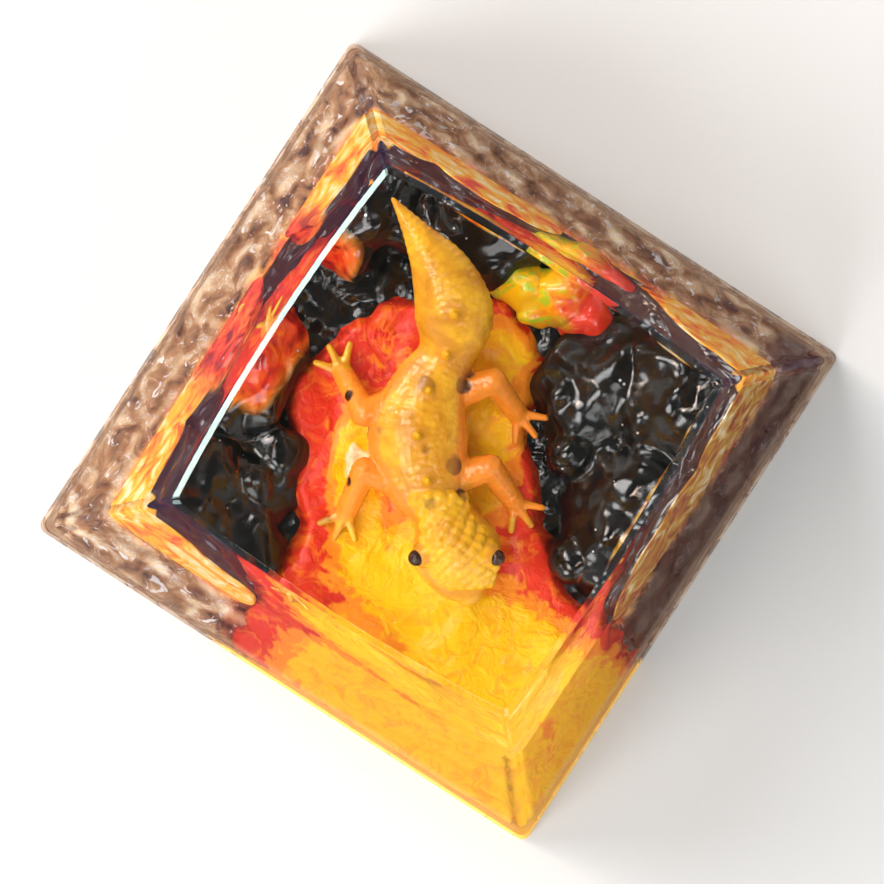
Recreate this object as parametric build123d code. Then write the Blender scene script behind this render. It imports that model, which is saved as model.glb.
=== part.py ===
"""Clear resin keycap with a small volcano scene cast into it: a lizard on a lava flow between black rocks.

The frame has +Z up and its origin at the middle of the rim that the cap stands on. X and Y run along the walls.
All sizes are in millimetres.
"""

from build123d import *
import os
from math import cos, pi, radians, sin, sqrt

# Cap form
BASE_SIDE = 18.2  # width of the skirt at the rim
TOP_SIDE = 12.0  # width of the top between its corner edges
CAP_HEIGHT = 11.7  # rim to the top corners
BASE_CORNER = 0.3  # plan radius of the corners at the rim
TOP_CORNER = 0.16  # plan radius of the corners at the top
TOP_BOW = 0.2  # how far the middle of each top edge bows outwards
DISH_DEPTH = 1.0  # top corners to the lowest point of the fingertip dish
EDGE_BEVEL = 0.14  # flat cut along the top edge

# Backing pour with the switch socket
BAND_HEIGHT = 0.4  # plain band of backing above the rim
SKIRT_WALL = 1.8  # plan distance from the cap's wall to the hollow
HOLLOW_SHARE = 0.41  # share of the cap's height that the hollow takes
HOLLOW_CORNER = 0.4
TUB_WALL = 0.6  # backing round the hollow, above the band
TUB_ROOF = 0.8  # backing over the hollow
POST_DIAMETER = 5.5
POST_RECESS = 0.4  # rim to the mouth of the post
SOCKET_ARM = 4.15  # length of both slots of the cross
SOCKET_SLOT_X = 1.35  # width of the slot along X
SOCKET_SLOT_Y = 1.2  # width of the slot along Y
SOCKET_DEPTH = 3.8

# Rock and lava
CLEAR_SKIN = 0.4  # least clear resin between the scene and the cap's walls
LAVA_SKIN = 0.4  # lava that runs down over the sides of the rock
ROCK_ROOF = 0.7  # rock over the backing
ROCK_CORNER = 0.5  # plan radius of the rock's corners
FOLD_DEPTH = 0.37  # deepest fold of the rock's crumpled sides, less than the lava's skin
FOLD_POINTS = 12  # peaks and pits along each side of the rock
FOLD_ROWS = 5  # rows of peaks and pits from the band to the top
LAVA_RISE = 0.5  # rock to the mean level of the lava
LAVA_RIPPLE = 0.14  # height of the lava's waves over and under that level
LAVA_WAVE = 5.2  # length of those waves
SURFACE_POINTS = 13  # points along each side of the lava's surface

# Half width of the scene that the plan places and sizes below are drawn for
SCENE_HALF = 7.0

# Lava's banks in plan, from the front wall round the back to the right wall
LAVA_BANKS = [
    (-2.3, -8.0),
    (-2.6, -5.9),
    (-3.1, -4.2),
    (-4.3, -2.6),
    (-5.1, -0.9),
    (-4.9, 1.4),
    (-3.2, 3.4),
    (-0.9, 4.9),
    (0.9, 4.2),
    (1.7, 2.6),
    (3.0, 1.0),
    (4.4, -0.4),
    (5.6, -1.5),
    (7.4, -2.1),
]

# Rocks: place, with its height over the rock bed, and half sizes of each lump, in X, Y and Z
RIGHT_LUMPS = [
    ((6.3, 5.6, 0.0), (3.2, 3.0, 2.3)),
    ((6.6, 1.6, 0.0), (2.6, 3.2, 1.9)),
    ((3.6, 4.2, 0.0), (2.4, 2.6, 1.3)),
    ((4.9, 4.0, 0.75), (1.05, 0.95, 0.9)),
    ((3.3, 4.8, 0.6), (0.95, 1.0, 0.9)),
    ((2.2, 3.4, 0.0), (0.95, 0.95, 1.2)),
    ((3.7, 1.9, 0.0), (1.0, 0.9, 1.2)),
    ((5.1, 2.3, 0.5), (1.05, 0.95, 1.0)),
    ((5.6, 0.2, 0.4), (0.9, 0.95, 1.0)),
    ((5.4, -0.8, 0.0), (0.9, 0.9, 1.2)),
]
LEFT_LUMPS = [
    ((-6.3, -5.9, 0.0), (2.9, 2.7, 2.1)),
    ((-6.8, -1.8, 0.0), (2.1, 2.9, 1.7)),
    ((-4.2, -6.5, 0.0), (2.0, 1.9, 1.5)),
    ((-4.6, -4.4, 0.0), (1.8, 1.8, 1.0)),
    ((-4.7, -4.4, 0.5), (1.0, 0.9, 0.9)),
    ((-3.7, -5.5, 0.0), (0.9, 0.85, 1.2)),
    ((-4.3, -3.1, 0.0), (1.05, 1.0, 1.1)),
    ((-5.6, -2.4, 0.4), (0.9, 0.95, 1.0)),
    ((-5.7, -0.6, 0.0), (0.85, 0.9, 1.2)),
]
BACK_LUMPS = [
    ((-6.5, 5.6, 0.0), (2.3, 2.9, 1.9)),
    ((-3.0, 6.7, 0.0), (2.4, 1.9, 1.8)),
    ((-5.5, 3.6, 0.0), (0.9, 0.85, 1.2)),
    ((-4.9, 5.0, 0.4), (0.95, 0.95, 1.0)),
    ((-3.4, 5.4, 0.4), (0.95, 0.85, 0.9)),
    ((-1.8, 5.6, 0.0), (0.9, 0.8, 1.2)),
]
LUMP_FACETS = 22
SPLASH_PLACE = (0.4, 5.8)
SPLASH_HALF = (2.2, 1.5, 1.2)

# Lizard, in its own frame: head towards -Y, lava level at Z 0
FIGURE_TURN = 33.0  # degrees that the lizard is turned in the cap
FIGURE_COVER = 0.6  # clear resin over the highest point of the tail
FIGURE_RISE = 3.3  # lava level to the tip of the tail
# Spine from nose to tail tip: place, half width, half height
SPINE = [
    ((0.8, -4.85, 0.75), 0.4, 0.25),
    ((0.6, -4.3, 0.85), 1.0, 0.6),
    ((0.35, -3.4, 1.0), 1.42, 0.9),
    ((-0.1, -2.2, 1.0), 0.95, 0.78),
    ((-0.55, -1.2, 1.05), 1.35, 0.98),
    ((-0.85, 0.2, 1.1), 1.6, 1.1),
    ((-0.5, 1.6, 1.15), 1.25, 0.98),
    ((0.05, 2.7, 1.3), 0.92, 0.85),
    ((0.3, 3.9, 1.75), 1.25, 1.05),
    ((-0.1, 5.2, 2.3), 0.98, 0.82),
    ((-0.8, 6.3, 2.8), 0.5, 0.42),
    ((-1.5, 7.3, 3.2), 0.1, 0.1),
]
# Legs: shoulder or hip, elbow or knee, foot
LEGS = [
    ((-1.0, -1.3, 0.9), (-2.5, -0.9, 1.25), (-3.1, -2.2, 0.15)),
    ((-0.2, -1.3, 0.9), (1.4, -0.8, 1.25), (2.2, -1.9, 0.15)),
    ((-1.0, 1.4, 0.9), (-2.5, 0.9, 1.3), (-3.2, 2.2, 0.15)),
    ((0.0, 1.4, 0.9), (1.5, 1.9, 1.3), (2.3, 0.9, 0.15)),
]
LEG_RADII = (0.6, 0.45, 0.36)  # at the hip, the knee and the foot
TOE_LENGTH = 0.95
TOE_RADII = (0.22, 0.1)  # at the foot and at the tip
TOE_SPREAD = 42.0  # degrees between neighbouring toes
TOE_COUNT = 3
EYE_RADIUS = 0.38
EYE_STATION = 2  # place on the spine that carries the eyes
SPIKE_TIP = 0.05
SPIKE_HEIGHT = 0.3
SPIKE_STATIONS = range(3, 9)  # places on the spine that carry a spike
RING_POINTS = 12  # facets round the trunk
LIMB_POINTS = 7  # facets round a leg, a toe, an eye or a spike

# Levels and slopes that follow from the sizes above
WALL_SLOPE = (BASE_SIDE - TOP_SIDE) / 2 / CAP_HEIGHT
HOLLOW_DEPTH = CAP_HEIGHT * HOLLOW_SHARE
TUB_TOP = HOLLOW_DEPTH + TUB_ROOF
ROCK_TOP = TUB_TOP + ROCK_ROOF
LAVA_LEVEL = ROCK_TOP + LAVA_RISE
DISH_FLOOR = CAP_HEIGHT - DISH_DEPTH
TUB_INSET = SKIRT_WALL - TUB_WALL
CORE_INSET = CLEAR_SKIN + LAVA_SKIN
GOLDEN_ANGLE = pi * (3 - sqrt(5))
PLAN_FIT = (BASE_SIDE / 2 - WALL_SLOPE * ROCK_TOP - CLEAR_SKIN) / SCENE_HALF
HEIGHT_FIT = (DISH_FLOOR - FIGURE_COVER - LAVA_LEVEL) / FIGURE_RISE


def fitted(x, y, z=0.0):
    """A place or size of the scene, stretched to the room in the cap."""
    return Vector(x * PLAN_FIT, y * PLAN_FIT, z * HEIGHT_FIT)


def half_width(z, inset=0.0):
    """Half the cap's width at a height, less a plan inset."""
    return BASE_SIDE / 2 - WALL_SLOPE * z - inset


def rounded_square(z, half, corner, bow=0.0):
    """Square face at a height, with rounded corners and sides that bow outwards."""
    corners = [(-half, -half), (half, -half), (half, half), (-half, half)]
    with BuildSketch(Plane.XY.offset(z)) as face:
        with BuildLine():
            for start, end in zip(corners, corners[1:] + corners[:1]):
                if bow > 0:
                    reach = (half + bow) / half
                    middle = tuple((a + b) / 2 * reach for a, b in zip(start, end))
                    ThreePointArc(start, middle, end)
                else:
                    Line(start, end)
        make_face()
        fillet(face.vertices(), corner)
    return face.sketch


def frustum(inset, low, high, corner):
    """Block whose four sides keep one plan distance from the cap's walls."""
    bottom = rounded_square(low, half_width(low, inset), corner)
    top = rounded_square(high, half_width(high, inset), corner)
    return loft([bottom, top], ruled=True)


def cap_form():
    """Outer form of the whole cap, with the fingertip dish and the bevelled top edge."""
    above = CAP_HEIGHT + DISH_DEPTH
    bottom = rounded_square(0, half_width(0), BASE_CORNER)
    top = rounded_square(above, half_width(above), TOP_CORNER, TOP_BOW)
    body = loft([bottom, top], ruled=True)
    reach = sqrt(2) * (TOP_SIDE / 2 - TOP_CORNER) + TOP_CORNER
    dish_radius = (reach**2 + DISH_DEPTH**2) / (2 * DISH_DEPTH)
    body -= Pos(0, 0, DISH_FLOOR + dish_radius) * Sphere(dish_radius)
    rim_edges = body.edges().filter_by(lambda edge: edge.center().Z > DISH_FLOOR)
    top_edges = [e for e in rim_edges if abs(e.start_point().Z - e.end_point().Z) < DISH_DEPTH / 4]
    # The corners let the bevel run round them only while it is narrower than they are
    return chamfer(top_edges, min(EDGE_BEVEL, 0.875 * TOP_CORNER))


def stem_base(cap):
    """Backing pour: the rim, the hollow that clears the switch, and the post with its cross socket."""
    band = split(cap, Plane.XY.offset(BAND_HEIGHT), keep=Keep.BOTTOM)
    tub = frustum(TUB_INSET, BAND_HEIGHT, TUB_TOP, HOLLOW_CORNER)
    hollow = frustum(SKIRT_WALL, 0, HOLLOW_DEPTH, HOLLOW_CORNER)
    post_length = HOLLOW_DEPTH - POST_RECESS
    post = Pos(0, 0, POST_RECESS + post_length / 2) * Cylinder(POST_DIAMETER / 2, post_length)
    slots = Box(SOCKET_ARM, SOCKET_SLOT_X, SOCKET_DEPTH) + Box(SOCKET_SLOT_Y, SOCKET_ARM, SOCKET_DEPTH)
    return band + tub - hollow + post - Pos(0, 0, POST_RECESS + SOCKET_DEPTH / 2) * slots


def lava_plan():
    """Column over the lava's plan: the banks, open to the front right corner of the cap."""
    far = BASE_SIDE / 2 + 1
    banks = [fitted(x, y) for x, y in LAVA_BANKS]
    first, last = banks[0], banks[-1]
    with BuildSketch() as plan:
        with BuildLine():
            Spline(banks)
            Polyline(last, (far, last.Y), (far, -far), (first.X, -far), first)
        make_face()
    return extrude(plan.sketch, CAP_HEIGHT)


def under_lava():
    """Everything below the lava's rippled surface."""
    reach = BASE_SIDE / 2 + 1
    step = 2 * reach / (SURFACE_POINTS - 1)
    places = [-reach + step * i for i in range(SURFACE_POINTS)]
    turn = 2 * pi / LAVA_WAVE
    points = [
        [(x, y, LAVA_LEVEL + LAVA_RIPPLE * sin(turn * (x + y / 2)) * cos(turn * (y - x / 3))) for x in places]
        for y in places
    ]
    surface = Face.make_surface_from_array_of_points(points)
    return extrude(surface, amount=CAP_HEIGHT, dir=(0, 0, -1))


def fold_depth(side, point, row):
    """How far a point of the rock's crumpled side lies back: peaks and pits alternate, and no two are alike."""
    pit = (point + row) % 2
    return FOLD_DEPTH * (0.65 * pit + 0.35 * (1 + sin(2.4 * point + 1.9 * row + 1.3 * side)) / 2)


def crumpled(low, high):
    """Block with folded sides, each fold a few flat facets."""
    rings = []
    for row in range(FOLD_ROWS):
        z = low + (high - low) * row / (FOLD_ROWS - 1)
        half = half_width(z, CLEAR_SKIN)
        points = []
        for side in range(4):
            cut = ROCK_CORNER * (1 - sqrt(0.5))
            spots = [Vector(half - cut, cut - half, z)]
            for point in range(1, FOLD_POINTS):
                along = (2 * point / FOLD_POINTS - 1) * half
                spots.append(Vector(half - fold_depth(side, point, row), along, z))
            points += [spot.rotate(Axis.Z, 90 * side) for spot in spots]
        rings.append(points)
    faces = [Face(Wire.make_polygon(end)) for end in (rings[0], rings[-1])]
    for row, (below, above) in enumerate(zip(rings, rings[1:])):
        for k in range(len(below)):
            if (k + row) % 2:
                halves = [below[k - 1], below[k], above[k]], [below[k - 1], above[k], above[k - 1]]
            else:
                halves = [below[k - 1], below[k], above[k - 1]], [below[k], above[k], above[k - 1]]
            faces += [Face(Wire.make_polygon(half)) for half in halves]
    return Solid(Shell(faces))


def rock_bed(plan, tub):
    """Rock pedestal: crumpled sides, cut back by one lava skin where the lava runs down over it."""
    core = frustum(CORE_INSET, BAND_HEIGHT, ROCK_TOP, ROCK_CORNER)
    return crumpled(BAND_HEIGHT, ROCK_TOP) - plan + core - tub


def lump(place, half_sizes):
    """Convex faceted stone at a place over the rock bed."""
    half_sizes = tuple(fitted(*half_sizes))
    stone = Box(*[2 * size for size in half_sizes])
    for facet in range(LUMP_FACETS):
        height = 1 - 2 * (facet + 0.5) / LUMP_FACETS
        ring = sqrt(1 - height**2)
        turn = GOLDEN_ANGLE * facet + place[0]
        direction = Vector(ring * cos(turn), ring * sin(turn), height)
        depth = 0.9 + 0.1 * sin(5 * facet + place[1])
        spot = Vector(*[depth * d * size for d, size in zip(direction, half_sizes)])
        normal = Vector(*[d / size for d, size in zip(direction, half_sizes)])
        stone = split(stone, Plane(origin=spot, z_dir=normal), keep=Keep.BOTTOM)
    return Pos(0, 0, ROCK_TOP) * Pos(fitted(*place)) * stone


def rock(lumps, room):
    """Several stones grown together, kept inside the clear walls and seated on the rock bed."""
    stones = [lump(place, half_sizes) for place, half_sizes in lumps]
    return (Part() + stones) & room


def ring(place, along, half_wide, half_high, count):
    """Points round one section of a body part that runs in the direction given, stretched to the room."""
    reference = Vector(1, 0, 0) if abs(along.Z) > 0.95 else Vector(0, 0, 1)
    across = reference.cross(along).normalized()
    up = along.cross(across)
    angles = [2 * pi * (k + 0.5) / count for k in range(count)]
    points = [place + across * (half_wide * cos(a)) + up * (half_high * sin(a)) for a in angles]
    return [fitted(*point) for point in points]


def tube(stations, count):
    """Faceted tube through stations: each a place, a half width and a half height."""
    places = [Vector(*place) for place, _, _ in stations]
    before = places[:1] + places[:-1]
    after = places[1:] + places[-1:]
    rings = []
    for place, back, ahead, (_, half_wide, half_high) in zip(places, before, after, stations):
        rings.append(ring(place, (ahead - back).normalized(), half_wide, half_high, count))
    faces = [Face(Wire.make_polygon(end)) for end in (rings[0], rings[-1])]
    for low, high in zip(rings, rings[1:]):
        for k in range(count):
            faces.append(Face(Wire.make_polygon([low[k - 1], low[k], high[k - 1]])))
            faces.append(Face(Wire.make_polygon([low[k], high[k], high[k - 1]])))
    return Solid(Shell(faces))


def leg(hip, knee, ankle):
    """Thigh, shin and foot, with toes that fan out from the foot."""
    heading = Vector(ankle[0] - knee[0], ankle[1] - knee[1], 0).normalized()
    end = tuple(Vector(*ankle) + heading * LEG_RADII[2])
    joints = zip((hip, knee, ankle), LEG_RADII)
    stations = [(place, radius, radius) for place, radius in joints] + [(end, *TOE_RADII)]
    pieces = [tube(stations, LIMB_POINTS)]
    for toe in range(TOE_COUNT):
        fan = TOE_SPREAD * (toe - (TOE_COUNT - 1) / 2)
        tip = tuple(Vector(*ankle) + heading.rotate(Axis.Z, fan) * TOE_LENGTH)
        stations = [(place, radius, radius) for place, radius in zip((ankle, tip), TOE_RADII)]
        pieces.append(tube(stations, LIMB_POINTS))
    return pieces


def eye(x, y, z):
    """Faceted ball."""
    steps = [(-1, 0.25), (-0.55, 0.84), (0, 1), (0.55, 0.84), (1, 0.25)]
    r = EYE_RADIUS
    return tube([((x, y + r * along, z), r * wide, r * wide) for along, wide in steps], LIMB_POINTS)


def lizard():
    """The whole figure, standing on the lava."""
    pieces = []
    for joints in LEGS:
        pieces += leg(*joints)
    (x, y, z), half_wide, half_high = SPINE[EYE_STATION]
    for side in (-1, 1):
        pieces.append(eye(x + side * half_wide * 0.68, y, z + half_high * 0.62))
    for station in SPIKE_STATIONS:
        (x, y, z), _, half_high = SPINE[station]
        tip = (x, y, z + half_high + SPIKE_HEIGHT)
        pieces.append(tube([((x, y, z), half_high / 2, half_high / 2), (tip, SPIKE_TIP, SPIKE_TIP)], LIMB_POINTS))
    return Pos(0, 0, LAVA_LEVEL) * Rot(0, 0, FIGURE_TURN) * (tube(SPINE, RING_POINTS) + pieces)


def main():
    cap = cap_form()
    base = stem_base(cap)
    tub = frustum(TUB_INSET, BAND_HEIGHT, TUB_TOP, HOLLOW_CORNER)
    plan = lava_plan()
    bed = rock_bed(plan, tub)
    room = frustum(CLEAR_SKIN, BAND_HEIGHT, CAP_HEIGHT, ROCK_CORNER)
    room_above = frustum(CLEAR_SKIN, ROCK_TOP, CAP_HEIGHT, ROCK_CORNER)
    figure = lizard()
    right = rock(RIGHT_LUMPS, room_above) - figure
    left = rock(LEFT_LUMPS, room_above) - figure
    back = rock(BACK_LUMPS, room_above) - figure
    flow = under_lava() & room & plan
    flow = flow - [bed, tub, right, left, back, figure]
    splash = Pos(0, 0, ROCK_TOP) * Pos(fitted(*SPLASH_PLACE)) * scale(Sphere(1), by=tuple(fitted(*SPLASH_HALF)))
    splash = (splash & room_above) - [flow, right, left, back, figure]
    clear = split(cap, Plane.XY.offset(BAND_HEIGHT), keep=Keep.TOP)
    clear = clear - [tub, bed, flow, splash, right, left, back, figure]
    nodes = {
        "clear_body": clear,
        "stem_base": base,
        "rock_bed": bed,
        "rock_right": right,
        "rock_left": left,
        "rock_back": back,
        "lava_flow": flow,
        "lava_splash": splash,
        "lizard": figure,
    }
    os.makedirs("parts", exist_ok=True)
    for name, shape in nodes.items():
        export_step(shape, f"parts/{name}.step")
        print(name, len(shape.solids()), "solids", round(shape.volume, 2), "mm3")


main()
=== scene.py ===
from math import atan2, copysign, pi, radians, sin, sqrt

import bmesh
import bpy
import numpy as np
from mathutils import Matrix, Vector, kdtree, noise


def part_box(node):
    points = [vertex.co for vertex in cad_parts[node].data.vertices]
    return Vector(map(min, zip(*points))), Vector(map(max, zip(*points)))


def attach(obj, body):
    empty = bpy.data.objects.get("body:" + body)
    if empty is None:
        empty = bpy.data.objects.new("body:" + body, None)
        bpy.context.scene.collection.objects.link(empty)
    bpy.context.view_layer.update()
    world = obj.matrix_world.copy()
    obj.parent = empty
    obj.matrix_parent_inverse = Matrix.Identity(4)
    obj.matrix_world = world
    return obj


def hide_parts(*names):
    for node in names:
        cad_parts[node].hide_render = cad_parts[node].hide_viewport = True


bl_info = {
    "name": "Resin keycap with a lava scene",
    "version": (1, 0, 0),
    "blender": (4, 5, 0),
    "location": "3D View > Sidebar > Keycap",
    "description": "Dresses the keycap: clear resin, crumpled rock, poured lava and a small gold lizard",
    "category": "Object",
}

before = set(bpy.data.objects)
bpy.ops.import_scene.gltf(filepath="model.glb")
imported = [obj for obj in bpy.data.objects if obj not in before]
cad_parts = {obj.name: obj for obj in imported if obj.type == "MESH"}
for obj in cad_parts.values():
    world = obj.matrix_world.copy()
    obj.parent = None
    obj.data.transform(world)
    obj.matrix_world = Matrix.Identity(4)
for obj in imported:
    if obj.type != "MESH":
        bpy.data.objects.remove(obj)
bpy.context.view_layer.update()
MM = 0.001
BASE_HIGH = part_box("stem_base")[1]
BLOCK_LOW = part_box("clear_body")[0].z
ROCK_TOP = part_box("rock_bed")[1].z

# Rows of points down the walls, and where the pieces behind the walls end and turn up inside the backing
WALL_ROWS = 46
SCENE_LOW = BLOCK_LOW + 0.02 * MM
BED_TUCK = 1.4 * MM
LAVA_TUCK = 1.45 * MM
RESIN_TUCK = 1.5 * MM
TUCK_TOP = BASE_HIGH.z - 0.4 * MM
LAVA_TUCK_TOP = BASE_HIGH.z - 0.35 * MM
# How far rocks and lava, and the splash, reach below the top of the rock bed, in millimetres
SINK = 0.7
SPLASH_SINK = 0.5
# Least plan distance from the clear skin to the rocks and the splash
ROCK_GAP = 0.05 * MM

# Lava's banks in plan, in millimetres, from the front wall round the back to the right wall
LAVA_BANKS = [
    (-2.3, -9.6),
    (-2.3, -8.0),
    (-2.6, -5.9),
    (-3.1, -4.2),
    (-4.3, -2.6),
    (-5.1, -0.9),
    (-4.9, 1.4),
    (-3.2, 3.4),
    (-0.9, 4.9),
    (0.9, 4.2),
    (1.7, 2.6),
    (3.0, 1.0),
    (4.4, -0.4),
    (5.6, -1.5),
    (7.4, -2.1),
    (9.6, -2.3),
]
# Middle of the hottest streams of the lava, with the half width of each
LAVA_STREAMS = [
    ([(0.2, 3.2), (0.9, 1.6), (1.3, -0.2), (1.2, -2.4), (1.9, -4.6), (5.0, -5.9), (9.5, -9.5)], 2.0),
    ([(-2.0, -1.4), (-1.2, -3.2), (0.4, -4.8), (2.0, -5.2)], 1.3),
    ([(0.8, -7.6), (3.5, -7.9), (9.5, -9.0)], 1.9),
    ([(3.5, -4.6), (6.6, -4.2), (8.6, -4.4), (9.4, -9.0)], 2.3),
]
LAVA_PALE_SPOT = (-1.9, -2.1)
LAVA_PALE_RADIUS = 0.9
# Corner that closes the loop of the banks
LAVA_CORNER = (9.6, -9.6)

# Lumps of each rock: place over the rock bed and half sizes, in millimetres
ROCKS = {
    "rock_right": [
        ((6.3, 5.6, 0.0), (3.2, 3.0, 2.3)),
        ((6.6, 1.6, 0.0), (2.6, 3.2, 1.9)),
        ((3.6, 4.2, 0.0), (2.4, 2.6, 1.3)),
        ((4.9, 4.0, 0.75), (1.05, 0.95, 0.9)),
        ((3.3, 4.8, 0.6), (0.95, 1.0, 0.9)),
        ((2.2, 3.4, 0.0), (0.95, 0.95, 1.2)),
        ((3.7, 1.9, 0.0), (1.0, 0.9, 1.2)),
        ((5.1, 2.3, 0.5), (1.05, 0.95, 1.0)),
        ((5.6, 0.2, 0.4), (0.9, 0.95, 1.0)),
        ((5.4, -0.8, 0.0), (0.9, 0.9, 1.2)),
    ],
    "rock_left": [
        ((-6.3, -5.9, 0.0), (2.9, 2.7, 2.1)),
        ((-6.8, -1.8, 0.0), (2.1, 2.9, 1.7)),
        ((-4.2, -6.5, 0.0), (2.0, 1.9, 1.5)),
        ((-4.6, -4.4, 0.0), (1.8, 1.8, 1.0)),
        ((-4.7, -4.4, 0.5), (1.0, 0.9, 0.9)),
        ((-3.7, -5.5, 0.0), (0.9, 0.85, 1.2)),
        ((-4.3, -3.1, 0.0), (1.05, 1.0, 1.1)),
        ((-5.6, -2.4, 0.4), (0.9, 0.95, 1.0)),
        ((-5.7, -0.6, 0.0), (0.85, 0.9, 1.2)),
    ],
    "rock_back": [
        ((-6.5, 5.6, 0.0), (2.3, 2.9, 1.9)),
        ((-3.0, 6.7, 0.0), (2.4, 1.9, 1.8)),
        ((-5.5, 3.6, 0.0), (0.9, 0.85, 1.2)),
        ((-4.9, 5.0, 0.4), (0.95, 0.95, 1.0)),
        ((-3.4, 5.4, 0.4), (0.95, 0.85, 0.9)),
        ((-1.8, 5.6, 0.0), (0.9, 0.8, 1.2)),
    ],
}
# Peaks and pits of the rock bed's sides: along each side, and from the band to the top
FOLD_POINTS = 12
FOLD_ROWS = 5
FOLD_DEPTH = 0.37 * MM
SPLASH_LUMPS = [
    ((-0.6, 5.5), (1.1, 0.8, 0.9)),
    ((0.6, 6.0), (1.0, 1.1, 1.2)),
    ((1.7, 5.7), (0.9, 0.9, 0.8)),
    ((0.2, 5.0), (0.6, 0.5, 0.5)),
]

# Lizard in its own frame, millimetres: place on the spine, half width, half height
LIZARD_TURN = radians(33)
SPINE = [
    ((0.8, -4.85, 0.75), 0.4, 0.25),
    ((0.6, -4.3, 0.85), 1.0, 0.6),
    ((0.35, -3.4, 1.0), 1.42, 0.9),
    ((-0.1, -2.2, 1.0), 0.95, 0.78),
    ((-0.55, -1.2, 1.05), 1.35, 0.98),
    ((-0.85, 0.2, 1.1), 1.6, 1.1),
    ((-0.5, 1.6, 1.15), 1.25, 0.98),
    ((0.05, 2.7, 1.3), 0.92, 0.85),
    ((0.3, 3.9, 1.75), 1.25, 1.05),
    ((-0.1, 5.2, 2.3), 0.98, 0.82),
    ((-0.8, 6.3, 2.8), 0.5, 0.42),
    ((-1.5, 7.3, 3.2), 0.1, 0.1),
]
LEGS = [
    ((-1.0, -1.3, 0.9), (-2.5, -0.9, 1.25), (-3.1, -2.2, 0.15)),
    ((-0.2, -1.3, 0.9), (1.4, -0.8, 1.25), (2.2, -1.9, 0.15)),
    ((-1.0, 1.4, 0.9), (-2.5, 0.9, 1.3), (-3.2, 2.2, 0.15)),
    ((0.0, 1.4, 0.9), (1.5, 1.9, 1.3), (2.3, 0.9, 0.15)),
]
LEG_RADII = (0.6, 0.45, 0.36)
TOE_FAN = (-42, 0, 42)
EYE_STATION = 2
# Spine points and columns that carry warts, and places on the spine that carry a spike
WART_POINTS = range(5, 22)
WART_COLUMNS = 5
SPIKE_STATIONS = SPINE[3:9]
SPIKE_RISE = 0.25

# Studio: place and size of each lamp in metres, and its colour
LAMPS = {
    "key_lamp": ((-0.23, 0.03, 0.19), 0.22, (1.0, 1.0, 1.0)),
    "front_lamp": ((-0.06, -0.2, 0.2), 0.2, (1.0, 1.0, 1.0)),
    "right_lamp": ((0.2, -0.1, 0.16), 0.2, (1.0, 1.0, 1.0)),
    "edge_lamp": ((-0.27, 0.003, 0.13), 0.08, (1.0, 0.66, 0.45)),
}
SKY_COLOUR = (1.0, 0.98, 0.95, 1.0)
FLOOR_STAIN = (0.5, 0.49, 0.475)
# Camera: what it looks at, in millimetres, the way from there to it, and the picture's upward direction
CAMERA_AIM = (0.098, 0.049, 0)
TOWARD_CAMERA = (-0.0186, -0.011, 1)
PICTURE_UP = (-0.543, 0.84, 0)
# Its sensor in millimetres, then the picture's width in pixels and its scale at the rim
SENSOR = 36
PICTURE_SIDE = 884
PIXELS_PER_MM = 31.9


def length(name, words, value):
    return bpy.props.FloatProperty(
        name=name, description=words, default=value, subtype="DISTANCE", unit="LENGTH"
    )


def power(name, words, value):
    return bpy.props.FloatProperty(name=name, description=words, default=value, min=0, unit="POWER")


def colour(name, words, value):
    return bpy.props.FloatVectorProperty(
        name=name, description=words, default=value, size=3, min=0, max=1, subtype="COLOR"
    )


class KeycapSizes(bpy.types.PropertyGroup):
    """Sizes of the cap's form."""

    base_side: length("Base side", "Width of the skirt at the rim", BASE_HIGH.x * 2)
    top_side: length("Top side", "Width of the top between its corners", 12.0 * MM)
    height: length("Height", "Rim to the top corners before their edge is bevelled", 11.7 * MM)
    base_corner: length("Base corner", "Plan radius of the corners at the rim", 0.3 * MM)
    top_corner: length("Top corner", "Plan radius of the corners at the top", 0.16 * MM)
    top_bow: length("Top bow", "How far the middle of each top edge bows outwards", 0.2 * MM)
    dish_depth: length("Dish depth", "Top corners to the lowest point of the fingertip dish", 1.0 * MM)
    edge_bevel: length("Edge bevel", "Flat cut along the top edge", 0.14 * MM)
    clear_skin: length("Clear skin", "Clear resin between the scene and the walls", 0.4 * MM)
    lava_rise: length("Lava rise", "Rock bed to the mean level of the lava", 0.5 * MM)


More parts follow.
